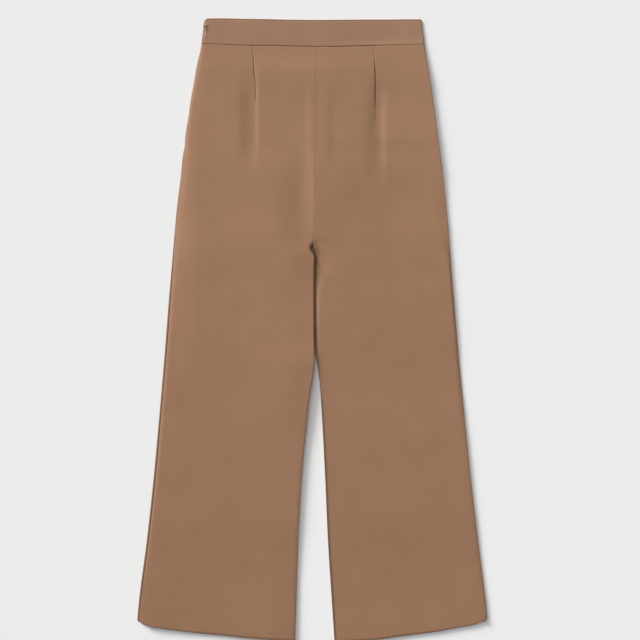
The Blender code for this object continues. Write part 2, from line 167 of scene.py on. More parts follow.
# Height of each edge, how far in its fullness fades, the reach of the rounded fold itself, how far
# the side seam is turned up over it, in degrees, and the seam's height over the floor.
ZIP_EDGE = {
    "down": [44, 75, 132, 200, 262, 330, 395, 460, 525, 600, 654, 719, 784, 870, 980],
    "height": [5.4, 6.2, 5.8, 5.8, 5.6, 5.2, 5.6, 6.5, 7.0, 6.8, 6.8, 7.2, 6.6, 6.5, 6.3],
    "fade": [9, 12, 12, 10, 10, 12, 14, 14, 12, 12, 12, 12, 12, 12, 12],
    "reach": [4.0, 9.0, 5.5, 8.0, 13.0, 12.0, 11.0, 10.0, 10.5, 9.5, 9.5, 10.0, 8.5, 7.5, 5.0],
    "seam": [12, 12, 10, 10, 10, 14, 30, 40, 42, 42, 42, 45, 48, 50, 50],
    "seam_height": [MID] * 15,
}
PLAIN_EDGE = {
    "down": [44, 110, 197, 262, 328, 393, 458, 523, 588, 654, 719, 784, 850, 915, 980],
    "height": [6.6, 8.6, 5.9, 6.0, 5.8, 5.2, 5.1, 5.3, 5.4, 5.8, 6.3, 6.2, 6.1, 6.3, 6.2],
    "fade": [20, 45, 40, 24, 14, 2.4, 2.4, 3, 3, 4, 4, 4, 4, 4, 4],
    "reach": [1.6, 0.7, 0.7, 0.7, 1.0, 1.2, 1.3, 1.3, 1.3, 1.3, 1.3, 1.3, 1.3, 1.3, 1.3],
    "seam": [40] * 15,
    "seam_height": [MID, MID, 2.5, 2.1, 1.6, 1.5, 1.5, 1.7, 2.1, 2.5, MID, MID, MID, MID, MID],
}
INNER_EDGES = {
    "down": [340, 372, 395, 420, 445, 520, 565, 600, 640, 700, 980],
    "left_height": [6.4, 8.8, 9.4, 9.2, 8.6, 10.4, 14.0, 13.4, 11.6, 8.8, 6.8],
    "left_fade": [36, 44, 44, 44, 46, 60, 76, 80, 78, 70, 50],
    "left_reach": [3.4, 3.4, 3.4, 3.4, 3.4, 2.2, 0.6, 0.3, 0.3, 0.4, 0.6],
    "right_height": [6.0, 3.6, 3.8, 4.4, 4.3, 3.8, 6.0, 7.2, 7.4, 7.2, 6.4],
    "right_fade": [14, 22, 24, 14, 5, 3.4, 5, 10, 12, 10, 9],
    "right_reach": [3.4, 3.4, 3.4, 3.4, 3.0, 2.6, 2.6, 2.6, 2.8, 3.0, 3.0],
}
FOLD_FLAT = {"left": 0.8, "right": 0.0}      # 0 is a round fold, and 1 is a long slope
outer_fold = {"left": curves_of(ZIP_EDGE), "right": curves_of(PLAIN_EDGE)}
inner_fold = curves_of(INNER_EDGES)
print("the left leg's inner edge stands up to", max(INNER_EDGES["left_height"]), "mm over the floor")

# %% [markdown]
# The back sinks into a hollow beside each dart's point, and it stands up over the centre seam,
# where four layers of seam allowance lie. Each row of the table is one flank of such a hollow or
# ridge: a smooth rise or fall across the leg, which comes and goes down its length. Long shallow
# waves, too low to be seen singly, break up what is left.

# %% Hollows, ridges and waves
FLANKS = [
    # x, width across, start, peak from, peak to, end (down), rise towards +x
    # beside the left dart
    (-152, 70, 70, 140, 205, 250, 0.8),
    (-111, 25, 70, 140, 205, 250, -2.7),
    (-91, 10, 44, 110, 190, 250, 1.9),
    # beside the right dart
    (62, 50, 95, 150, 200, 290, 1.0),
    (96, 26, 95, 150, 200, 300, -2.3),
    (97, 12, 90, 115, 165, 200, -0.8),
    (102, 5, 48, 80, 130, 180, -1.2),
    (116, 12, 90, 150, 195, 290, 2.2),
    (158, 66, 70, 150, 200, 290, 1.1),
    # over the centre seam
    (-8, 15, 90, 140, 220, 330, 1.4),
    (29, 16, 90, 150, 200, 260, -1.1),
    (66, 40, 90, 150, 220, 330, -0.3),
    (-1.5, 11, 190, 260, 315, 372, 1.4),
    (-14, 28, 150, 230, 290, 350, 0.9),
    (100, 180, 150, 240, 315, 375, -1.8),
    # the long hollow on the left of it
    (-120, 90, 190, 270, 350, 470, 1.2),
    (-40, 56, 190, 270, 350, 470, -2.3),
    (-10, 18, 200, 290, 345, 380, 1.1),
    # the right hip
    (70, 80, 170, 260, 380, 480, -0.9),
    (150, 60, 170, 260, 380, 480, 0.9),
    (75, 130, 60, 130, 280, 380, -2.0),
    (195, 44, 60, 120, 260, 370, 2.0),
    (90, 200, 150, 260, 340, 680, -2.2),
    # the left thigh stands up, the right leg is thinner
    (-205, 36, 140, 240, 330, 440, 2.4),
    (-214, 60, 300, 400, 500, 620, 3.2),
    (-90, 80, 190, 290, 420, 540, 1.0),
    (-24, 44, 190, 290, 540, 690, -1.6),
    (140, 160, 230, 330, 750, 1000, -1.0),
    # the left leg's hem
    (-215, 120, 800, 930, 1100, 1200, -3.0),
    (-105, 110, 800, 930, 1100, 1200, 1.5),
    (-52, 40, 800, 930, 1100, 1200, -1.2),
]
LONG_WAVES = [
    # length, direction in degrees, height, phase
    (143, 12, 0.10, 0.4),
    (97, 68, 0.07, 1.9),
    (211, 104, 0.12, 3.1),
    (61, 151, 0.035, 5.0),
    (333, 40, 0.14, 2.2),
]


def long_waves(x, down):
    height = 0.0
    for length, direction, rise, phase in LONG_WAVES:
        turn = math.radians(direction)
        along = x * math.cos(turn) + down * math.sin(turn)
        height = height + rise * np.sin(2 * math.pi * along / length + phase)
    return height


def flanks(x, down):
    height = 0.0
    for middle, width, start, first, last, end, rise in FLANKS:
        along = ease(start, first, down) * (1 - ease(last, end, down))
        height = height + rise * along * ease(middle - width / 2, middle + width / 2, x)
    return height


print(len(FLANKS), "flanks and", len(LONG_WAVES), "long waves")

# %% [markdown]
# The smallest forms are the pits where the centre seam is drawn in at the crotch, two lumps beside
# the end of the zip, and the doubled hem, which stands up a little. All of it adds up to one height
# for each place on the board.

# %% Height of the back
CROTCH_PITS = [
    # x, down, reach across, reach down, depth: the deep one ends the centre seam
    (-1.0, 373.0, 2.8, 5.0, 4.4),
    (5.0, 380.0, 5.0, 6.0, 2.5),
    (8.0, 368.0, 5.0, 7.0, 1.0),
]
EDGE_LUMPS = [
    # on the zip's side: from the outseam, down, reach across, reach down, height
    (5.2, 201.0, 2.2, 4.0, 1.2),
    (9.4, 206.0, 3.0, 4.0, 0.5),
]
TURN_UP_STEP = 0.12    # the turned-up ply stops here, and the outer one settles behind it
TURN_UP_EASE = (TURN_UP - 0.5, TURN_UP + 2.5)     # over the hem
HEM_RISE = 1.6         # the doubled hem stands up, and this fades out up the leg
HEM_FADE = 90.0


def near_edge(distance, fade):
    """1 at no distance, and next to nothing at twice the fade."""
    return np.exp(-((distance / fade) ** 2))


def inner_edge(side, down):
    line = np.where(down < CROTCH, centre_seam(down), inseam[side](down))
    return line - INWARD[side] * CENTRE_GAP / 2


def back_height(side, x, down):
    """Upper face of the back, in millimetres over the floor."""
    height = LEG_HEIGHT + flanks(x, down) + long_waves(x, down)
    outer = outer_fold[side]["height"](down) - LEG_HEIGHT
    height = height + outer * near_edge(x - outseam[side](down), outer_fold[side]["fade"](down))
    inner = inner_fold[side + "_height"](down) - LEG_HEIGHT
    near_inner = near_edge(x - inner_edge(side, down), inner_fold[side + "_fade"](down))
    height = height + inner * near_inner * ease(*INNER_EASE, down)
    for pit_x, pit_down, across, along, depth in CROTCH_PITS:
        height = height - depth * near_edge(x - pit_x, across) * near_edge(down - pit_down, along)
    if side == "left":
        from_edge = x - outseam[side](down)
        for across, middle, wide, long, rise in EDGE_LUMPS:
            lump = near_edge(from_edge - across, wide) * near_edge(down - middle, long)
            height = height + rise * lump
    height = WAIST_HEIGHT + (height - WAIST_HEIGHT) * ease(*WAIST_EASE, down)
    over_hem = hem_down(side, x) - down
    height = height - TURN_UP_STEP * ease(*TURN_UP_EASE, over_hem)
    return height + HEM_RISE * near_edge(over_hem, HEM_FADE)


def hem_down(side, x):
    """Where the hem lies below this place across the leg."""
    outer, inner = outseam[side](HEM_OUTER_DOWN[side]), inner_edge(side, HEM_INNER_DOWN[side])
    share = hem_drop[side](np.clip((x - outer) / (inner - outer), 0, 1))
    return HEM_OUTER_DOWN[side] + (HEM_INNER_DOWN[side] - HEM_OUTER_DOWN[side]) * share


seat = back_height("right", np.array([80.0]), np.array([300.0]))
print("the seat stands", round(float(seat[0]), 1), "mm over the floor")

# %% [markdown]
# ## Laying a sheet
# A sheet starts as Blender's own grid with the right number of rows and columns. Its points are
# then moved to their places in one go, because they follow the tables and not a few strokes in edit
# mode, and Solidify gives it the thickness of the cloth. The grid's UV map is rewritten in metres
# along the cloth, so that the weave follows it round every fold.

# %% Sheet helpers
def lay_sheet(name, points, uv, wall, outward, rim=None):
    """points and uv are (rows, columns, ...) arrays in metres; outward is a face and its direction.
    rim becomes a second UV map, which says how much shade is painted into the cloth there."""
    rows, columns = points.shape[:2]
    bpy.ops.mesh.primitive_grid_add(x_subdivisions=columns - 1, y_subdivisions=rows - 1, size=1)
    sheet = bpy.context.object
    sheet.name = sheet.data.name = name
    mesh = sheet.data
    mesh.vertices.foreach_set("co", points.reshape(-1))
    corners = np.empty(len(mesh.loops), np.int32)
    mesh.loops.foreach_get("vertex_index", corners)
    mesh.uv_layers[0].name = "cloth"
    mesh.uv_layers[0].data.foreach_set("uv", uv.reshape(-1, 2)[corners].reshape(-1))
    if rim is not None:
        pressed = np.stack([rim, rim], axis=-1).reshape(-1, 2)[corners]
        mesh.uv_layers.new(name="pressed").data.foreach_set("uv", pressed.reshape(-1))
    mesh.update()
    middle = mesh.polygons[outward[0]]
    if middle.normal.dot(Vector(outward[1])) < 0:
        mesh.flip_normals()
    mesh.shade_smooth()
    solid = sheet.modifiers.new("Cloth", "SOLIDIFY")
    solid.thickness = wall * MM
    solid.offset = -1.0
    bpy.ops.object.modifier_apply(modifier=solid.name)
    sheet.select_set(False)
    print(name, rows, "x", columns, "points,", len(sheet.data.polygons), "faces")
    return sheet


def unit(vectors):
    return vectors / np.maximum(np.linalg.norm(vectors, axis=-1, keepdims=True), 1e-12)


def normals_of(points, up, part=2):
    """Outward normals of a grid of points. The one half way down the rows and half way across the
    columns, or a quarter of the way where part is 4, points up, or down where up is negative."""
    across = np.gradient(points, axis=1)
    along = np.gradient(points, axis=0)
    normal = unit(np.cross(across, along))
    known = normal[normal.shape[0] // 2, normal.shape[1] // part]
    return normal if known[2] * up > 0 else -normal


def run_length(points, axis):
    """Distance from the first row or column, along the cloth."""
    step = np.linalg.norm(np.diff(points, axis=axis), axis=-1)
    start = np.zeros_like(np.take(step, [0], axis=axis))
    return np.concatenate([start, np.cumsum(step, axis=axis)], axis=axis)


def run_from_end(points, axis):
    """Distance from the last row or column, along the cloth."""
    return np.flip(run_length(np.flip(points, axis), axis), axis)


def rolled(distance, depth, radius):
    """How far a seamed edge rolls in, this far from the seam: a quarter round."""
    t = np.clip(1 - distance / radius, 0, 1)
    return depth * (1 - np.sqrt(1 - t * t))


def on_board(x, down, z):
    """From the tables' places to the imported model's frame, still in millimetres."""
    return np.stack([x - MIDDLE_X, TOTAL_LENGTH / 2 - down, z], axis=-1)


def place(x, down, z):
    return on_board(x, down, z) * MM


def edge_turn(edge, outward, normal, radius, angles):
    """Rows of points round a folded edge; at the angle 0 they lie on its own row, edge."""
    return np.array([
        edge + outward * radius * math.sin(angle) - normal * radius * (1 - math.cos(angle))
        for angle in angles
    ])


# %% [markdown]
# ## A leg panel
# Each panel runs from the rounded fold at the outseam to the centre seam, and below the crotch to
# the fold at the inseam. Columns of points crowd together at the folds, seams and dart, and rows at
# the waist seam, the end of the zip, the crotch and the hem. At the hem the cloth turns round and
# runs back up inside for a few centimetres, as a blind hem does. An even grid would be simpler, but
# it would need many times the points to draw a fold as round.

# %% Where a panel's columns and rows lie
FOLD_STEPS = 12
SEAM_TURN = math.radians(50)      # how far round the inner fold, from level, its seam lies
CENTRE_SPREAD = np.array([0, 0.2, 0.45, 0.8, 1.2, 1.7, 2.4, 3.3, 4.5, 6.0, 7.8, 10.0])
PART_WIDTH = 100.0     # a typical width from a fold to the dart, for the columns between them
NEAR_FOLD = [1.5, 3.2, 5.2, 7.6]
BETWEEN = list(np.arange(10.5, 91, 3.2))
NEAR_DART = [PART_WIDTH - step for step in (6.4, 4.4, 3.0, 2.0, 1.3, 0.75, 0.35)]
TO_DART = np.array(NEAR_FOLD + BETWEEN + NEAR_DART) / PART_WIDTH
FROM_DART = 1 - TO_DART[::-1]

NEAR_WAIST = [0, 0.25, 0.6, 1.1, 1.8, 3, 5, 8]
NEAR_HEM = [3.2, 2.4, 1.7, 1.1, 0.5, 0.0]
ROW_STEP = {"seat": 5, "zip end": 1.7, "dip": 2.5, "leg": 6}
ZIP_END_ROWS = (190, 214)                          # closer rows where the outseam puckers
DIP_ROWS = (DIP_START - 12, CROTCH + 16)
ROW_GAP = 2            # between one stretch of rows and the next
TURN_UP_ROWS = 14
HEM_CLOSE = 4          # the last of them is this far over the hem


def panel_rows(start, end):
    """How far down each row lies, along the panel's inner edge."""
    return np.concatenate([
        [start + step for step in NEAR_WAIST],
        np.arange(start + NEAR_WAIST[-1] + ROW_STEP["seat"], ZIP_END_ROWS[0], ROW_STEP["seat"]),
        np.arange(*ZIP_END_ROWS, ROW_STEP["zip end"]),
        np.arange(ZIP_END_ROWS[1] + ROW_GAP, DIP_ROWS[0], ROW_STEP["seat"]),
        np.arange(*DIP_ROWS, ROW_STEP["dip"]),
        np.arange(DIP_ROWS[1] + ROW_GAP, end - TURN_UP - ROW_STEP["leg"], ROW_STEP["leg"]),
        np.linspace(end - TURN_UP, end - HEM_CLOSE, TURN_UP_ROWS),
        [end - step for step in NEAR_HEM],
    ])


print(len(panel_rows(WAIST_SEAM, HEM_INNER_DOWN["left"])), "rows down a panel's outer face")

# %% [markdown]
# The dart is a pinch of cloth sewn from the waist to a point. From outside it is a fine pressed
# line, and the cloth on the side seam's side of it falls away. The outseam over the zip isn't quite
# straight, because the zip's tape is stiffer than the cloth.

# %% Dart, outseam and hem
DART_END = 143.0
DART_DEPTH = 1.2
DART_WIDTH = 0.75
DART_AT_WAIST = 0.55                       # its share of the depth where the waist seam holds it flat
DART_OPENS = (50, 75)                      # and where it comes to its whole depth
DART_TAPER = 20                            # it runs out to its point over this length
SEAM_REACH = 3.4                           # a typical reach of a fold that a side seam lies on
HEM_SLANT = (0.55, 1.0)                    # the rows take up the hem's slant in this part of the leg
ZIP_BUMPS = [
    # down, length, how far the outseam's edge moves out (mm)
    (70, 14, 0.3), (104, 14, -0.3), (130, 20, 0.45), (158, 14, -0.35), (182, 14, 0.4),
    (207, 9, -1.0), (228, 18, 0.35), (262, 22, -0.25), (300, 30, 0.3),
]


def edge_bumps(down):
    """How uneven the zip's tape makes the left outseam, down to its end, where the seam puckers."""
    return sum(out * near_edge(down - middle, length) for middle, length, out in ZIP_BUMPS)


def rows_down(side, across):
    """How far down each point lies, and where its column comes to the hem's rounded edge."""
    start = float(band_seam(centre_seam(WAIST_SEAM))) + SEAM_GAP
    rows = panel_rows(start, HEM_INNER_DOWN[side])
    share = ((rows - start) / (rows[-1] - start))[:, None]
    waist_outer = outseam[side](BAND_DEPTH)
    waist_x = waist_outer + (inner_edge(side, WAIST_SEAM) - waist_outer) * across
    upper = band_seam(waist_x) + SEAM_GAP
    drop = across + (hem_drop[side](across) - across) * ease(*HEM_SLANT, share)
    lower = HEM_OUTER_DOWN[side] + (HEM_INNER_DOWN[side] - HEM_OUTER_DOWN[side]) * drop - HEM_ROUND
    return upper + (lower - upper) * share, lower


print("dart", DART_END - WAIST_SEAM, "mm long")


# %% Panel points
def panel_grid(side, layer):
    """Outer face of one panel in millimetres, rows from the waist to the hem."""
    back = layer == "back"
    inward = INWARD[side]
    up = 1 if back else -1
    gap_turn = up * SEAM_GAP / 2 / SEAM_REACH
    angle = np.linspace(SEAM_TURN + gap_turn, math.pi / 2 * up, FOLD_STEPS)
    flats = np.concatenate([TO_DART, [1.0], 1 + FROM_DART])
    across = np.concatenate([np.zeros(FOLD_STEPS), flats / 2, np.ones(FOLD_STEPS)])[None, :]
    down, lower = rows_down(side, across)

    edge = outseam[side](down) + inward * HEM_CORNER * np.exp((down - lower) / HEM_CORNER * 2)
    if side == "left":
        edge = edge - edge_bumps(down)
    inner = inner_edge(side, down)
    folded = ease(DIP_START, CROTCH, down)
    middle = dart[side](down)
    n = FOLD_STEPS
    outer_reach = outer_fold[side]["reach"](down)
    inset = 1 - np.cos(angle)
    seam_at = np.radians(outer_fold[side]["seam"](down[:, :1])) + gap_turn
    outer_angle = seam_at + (math.pi / 2 * up - seam_at) * np.linspace(0, 1, n)[None, :]
    seam_z = np.full(down.shape, MID)
    seam_z[:, :n] = outer_fold[side]["seam_height"](down[:, :n])
    x = np.empty(down.shape)
    rise = np.full(down.shape, float(up))
    x[:, :n] = edge[:, :n] + inward * outer_reach[:, :n] * (1 - np.cos(outer_angle))
    flat = FOLD_FLAT[side] * (outer_angle > 0)
    rise[:, :n] = (1 - flat) * np.sin(outer_angle) + flat * np.sin(outer_angle) ** 2
    folded_in = folded[:, -n:]
    inner_reach = inner_fold[side + "_reach"](down)
    spread = inner_reach[:, -n:] * inset[::-1] * folded_in + CENTRE_SPREAD[::-1] * (1 - folded_in)
    x[:, -n:] = inner[:, -n:] - inward * spread
    rise[:, -n:] = np.sin(angle[::-1]) * folded_in + (1 - folded_in) * up
    first = edge + inward * outer_reach
    last = inner - inward * (inner_reach * folded + CENTRE_SPREAD[-1] * (1 - folded))
    part = np.broadcast_to(flats[None, :], down[:, n:-n].shape)
    to_dart = first[:, n:-n] + (middle - first)[:, n:-n] * part
    from_dart = middle[:, n:-n] + (last - middle)[:, n:-n] * (part - 1)
    x[:, n:-n] = np.where(part <= 1, to_dart, from_dart)

    height = back_height(side, x, down)
    z = np.where(rise > 0, seam_z + (height - seam_z) * rise, seam_z * (1 + rise))
    if back:
        sewn = DART_AT_WAIST + (1 - DART_AT_WAIST) * ease(*DART_OPENS, down)
        sewn = sewn * (1 - ease(DART_END - DART_TAPER, DART_END, down))
        z = z - DART_DEPTH * sewn * near_edge(x - middle, DART_WIDTH)
    return on_board(x, down, z), down


# %% [markdown]
# A seam's edges roll in, so that each seam shows as a dark line between two soft lips. A bevel
# would round every seam alike, so here each point near a seam sinks along its own normal instead,
# more where the seam is tight.

# %% Rolled seams and the turned hem
SEAM_ROUND = 1.9
CENTRE_ROLL = 0.18
CENTRE_ROLL_BELOW = 0.05                   # the centre seam is pressed flat over the seat
CENTRE_PRESSED = (200, 260)
WIDE_ROLL = 0.6        # the side seams that lie to the wearer's left stand open a little
TIGHT_ROLL = 0.1
OUTSEAM_OPENS = (260, 460)
INSEAM_OPENS = (DIP_START + 4, CROTCH + 14)
INNER_ROUND = (0.5, 0.9)                   # its radius, and how much of the roll's depth is added
WAIST_ROLL = 0.62
WAIST_ROLL_EXTRA = (78.0, 45.0, 0.65)      # x, reach, more depth: the seam is tighter there
EDGE_TURNS = np.linspace(0, math.pi, 8)
HEM_PLY_ROWS = 14      # how many rows the turned-up ply runs back up


def waist_roll(x):
    middle, reach, extra = WAIST_ROLL_EXTRA
    return WAIST_ROLL + extra * near_edge(x - middle, reach)


def roll_edges(points, up, side, down):
    """Rolls the waist, outseam and inner edges in, along the sheet's own normals."""
    normal = normals_of(points, up)
    outer_roll, folded_roll = TIGHT_ROLL, WIDE_ROLL
    if side == "left":
        outer_roll = TIGHT_ROLL + (WIDE_ROLL - TIGHT_ROLL) * ease(*OUTSEAM_OPENS, down)
        folded_roll = TIGHT_ROLL
    if up < 0:
        outer_roll, folded_roll = TIGHT_ROLL, TIGHT_ROLL / 2
    centre_roll = CENTRE_ROLL + (CENTRE_ROLL_BELOW - CENTRE_ROLL) * ease(*CENTRE_PRESSED, down)
    inner_roll = centre_roll + (folded_roll - centre_roll) * ease(*INSEAM_OPENS, down)
    inner_round = INNER_ROUND[0] + INNER_ROUND[1] * inner_roll
    roll = rolled(run_length(points, 1), outer_roll, SEAM_ROUND)
    roll = np.maximum(roll, rolled(run_from_end(points, 1), inner_roll, inner_round))
    roll = np.maximum(roll, rolled(run_length(points, 0), waist_roll(points[..., 0]), SEAM_ROUND))
    return points - normal * roll[..., None]


def turned_hem(points, up):
    """Adds the hem's rounded edge and the ply that runs back up inside the leg."""
    normal = normals_of(points, up)
    turns = edge_turn(points[-1], unit(points[-1] - points[-2]), normal[-1], HEM_ROUND, EDGE_TURNS[1:])
    inside = (points - normal * 2 * HEM_ROUND)[-2:-2 - HEM_PLY_ROWS:-1]
    return np.concatenate([points, turns, inside])


# %% [markdown]
# Shade is painted into the cloth's colour: a dark rim along the folded edges, along the hem and on
# its turned-up ply, and a deep patch where the centre seam is drawn in to a point. It is worked out
# with the points, so it fits them exactly: a second UV map keeps how much painted shade each place
# gets, and the cloth's material darkens with it.

# %% Painted edge shade
EDGE_SHADE = {
    # how dark the painted shade along each folded edge is, on its way down the leg
    "down": [44, 200, 330, 420, 470, 700, 1016],
    "left_outseam": [0.0, 0.0, 0.0, 0.15, 0.25, 0.55, 0.85],
    "right_outseam": [0.0, 0.0, 0.0, 0.0, 0.0, 0.0, 0.1],
    "left_inseam": [0.0, 0.0, 0.0, 0.0, 0.0, 0.2, 0.35],
    "right_inseam": [0.0, 0.0, 0.0, 0.0, 0.6, 1.0, 1.0],
}
# painted shade along the hem's folded edge
HEM_SHADE = 0.6
HEM_RIM = (1.2, 3.0)                       # from the hem: painted shade at its darkest up to here, and gone here
# how far in from the inseams the painted shade reaches, and where down the leg it comes in
INSEAM_RIM = {"left": (0.5, 10.0), "right": (1.6, 4.2)}
INSEAM_SHADE_COMES_IN = (CROTCH + 190, CROTCH + 250)
# how far in from the outseam the painted shade reaches, on the front and on the back
FRONT_RIM, BACK_RIM, BACK_RIM_EXTRA = 8.0, 1.0, 3.0
BACK_RIM_WIDENS = (860, 940)               # the extra comes in here, towards the hem
CROTCH_SHADE = [
    # x, down, reach across, reach down, how dark: painted shade in the deep fold where the centre
    # seam's end is pulled in. The shader averages a UV map's two values and a third that is 0, so 1.5
    # would be as dark as it gets
    (-0.6, 374.0, 3.0, 5.2, 1.3),
    (2.6, 380.0, 3.6, 5.6, 1.3),
    (8.0, 383.0, 5.0, 11.0, 1.0),
    (4.9, 392.0, 2.0, 10.0, 0.7),
    (12.0, 398.0, 9.0, 26.0, 0.22),
    (-9.0, 394.0, 13.0, 26.0, 0.16),
    (8.0, 418.0, 3.5, 26.0, 0.3),
]
edge_shade_at = curves_of(EDGE_SHADE)


def painted_edge_shade(side, layer, points, down):
    """1 on the edges where the painted shade is full, and 0 a few millimetres in."""
    outer_rim = FRONT_RIM if layer == "front" else BACK_RIM + BACK_RIM_EXTRA * ease(*BACK_RIM_WIDENS, down)
    outer_fade = 1 - ease(outer_rim / 2, outer_rim, run_length(points, 1))
    inner_fade = 1 - ease(*INSEAM_RIM[side], run_from_end(points, 1))
    inner_rim = edge_shade_at[side + "_inseam"](down) * ease(*INSEAM_SHADE_COMES_IN, down) * inner_fade
    rim = np.maximum(edge_shade_at[side + "_outseam"](down) * outer_fade, inner_rim)
    for x, pulled_down, across, along, amount in CROTCH_SHADE:
        near = near_edge(points[..., 0] + MIDDLE_X - x, across) * near_edge(down - pulled_down, along)
        rim = np.maximum(rim, amount * near)
    return np.maximum(rim, HEM_SHADE * (1 - ease(*HEM_RIM, run_from_end(points, 0))))


# %% [markdown]
# The cloth can't sink into the board that it lies on, so points below it are lifted to it. That is
# done before and after the hem is turned, and once more on the finished mesh, because the wall's
# thickness can push a few points of the inner ply down again.

# %% Making a panel
def above_board(points):
    points[..., 2] = np.maximum(points[..., 2], 0.0)
    return points


def make_panel(side, layer, material):
    up = 1 if layer == "back" else -1
    points, down = panel_grid(side, layer)
    points = above_board(roll_edges(points, up, side, down))
    points = above_board(turned_hem(points, up))
    uv = np.stack([run_length(points, 1), run_length(points, 0)], axis=-1) * MM
    # the hem's rounded edge and the ply turned up inside get the full painted shade
    rim = np.ones(points.shape[:2])
    rim[:len(down)] = painted_edge_shade(side, layer, points[:len(down)], down)
    outer_rows, columns = down.shape
    face = (outer_rows // 2) * (columns - 1) + columns // 2
    name = f"{layer}_{side}_leg_cloth"
    sheet = lay_sheet(name, points * MM, uv, CLOTH, (face, (0, 0, up)), rim)
    for point in sheet.data.vertices:
        point.co.z = max(point.co.z, 0.0)
    sheet.data.materials.append(material)
    node = f"{layer}_{side}_leg"
    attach(sheet, "garment")
    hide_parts(node)
    return sheet


# %% [markdown]
# ## Camera
# The photo was taken from straight above. The lens is long, so the flat garment keeps its true
# outline, and 640 pixels span 1.043 m at the height of the cloth.

# %% Camera
PIXEL = 1.63 * MM
FRAME_PIXELS = 640
CAMERA_LENS = 100.0
SENSOR = 36.0
CENTRE_PIXEL_X = 312.65     # the photo's pixel column on the tables' x = 0
TOP_PIXEL_Y = 19.0          # and the row at the waistband's upper edge

camera_data = bpy.data.cameras.new("camera")
camera = bpy.data.objects.new("camera", camera_data)
scene.collection.objects.link(camera)
scene.camera = camera
camera_data.lens, camera_data.sensor_width = CAMERA_LENS, SENSOR
distance = FRAME_PIXELS * PIXEL / SENSOR * CAMERA_LENS
camera.location = (
    (FRAME_PIXELS / 2 - CENTRE_PIXEL_X) * PIXEL - MIDDLE_X * MM,
    TOTAL_LENGTH / 2 * MM - (FRAME_PIXELS / 2 - TOP_PIXEL_Y) * PIXEL,
    distance + BAND_HEIGHT * MM,
)
print("camera", round(distance, 2), "m above the cloth")


# %% [markdown]
# ## Materials
# Colours are picked as screen values and turned into linear light by one function. A second one
# adds a node with its settings and its links. A socket is given by its name, or by its number on
# nodes such as Math and Mix, where several have the same one.

# %% Colour and node helpers
def linear(hex_colour, alpha=1.0):
    parts = [int(hex_colour[i:i + 2], 16) / 255 for i in (1, 3, 5)]
    return (*[c / 12.92 if c <= 0.04045 else ((c + 0.055) / 1.055) ** 2.4 for c in parts], alpha)


def add_node(tree, kind, inputs=None, **settings):
    """A new node with its settings; inputs are sockets to link from, or plain values."""
    node = tree.nodes.new(kind)
    for key, value in settings.items():
        setattr(node, key, value)
    for key, value in (inputs or {}).items():
        if isinstance(value, bpy.types.NodeSocket):
            tree.links.new(value, node.inputs[key])
        else:
            node.inputs[key].default_value = value
    return node


def new_material(name, **shader_values):
    material = bpy.data.materials.new(name)
    material.use_nodes = True
    shader = material.node_tree.nodes["Principled BSDF"]
    for key, value in shader_values.items():
        shader.inputs[key.replace("_", " ")].default_value = value
    return material, material.node_tree, shader


# %% [markdown]
# Crepe is woven from hard-twisted yarn that springs back and gives a matt, finely pebbled face.
# Two sine waves cross for the plain weave, which repeats every two threads, and noise nearly a
# millimetre across stands for the pebble. The threads are too fine to show from this far, so the
# pebble is drawn as coarse as a close view needs. Both are bump only: as real relief they would
# take millions of faces. The colour wanders by a few per cent, as dyed cloth does. On top of that
# it is painted lighter towards the waist and darker towards the hems, as a painted falloff of the
# light, and it takes the painted shade kept in the second UV map.

# %% Crepe
TWO_THREADS = 0.5 * MM
PEBBLE = 0.9 * MM
FIBRE = 2.4 * MM
MOTTLE = 45 * MM
WEAVE_SHARE = 0.18         # of the threads' waves in the relief, beside the pebble
FIBRE_SHARE = 0.5          # and of the fibres in the colour, beside the mottling
CREPE_RELIEF = 0.12 * MM
HALF_LENGTH = 0.51         # from the middle of the frame to the waist, and to the hems
# painted light falloff: the cloth is painted darker towards the hems and lighter towards the waist
HEM_TONE, WAIST_TONE = -0.56, 0.30
DEEPEST_TONE, LIGHTEST_TONE = 0.1, 1.4


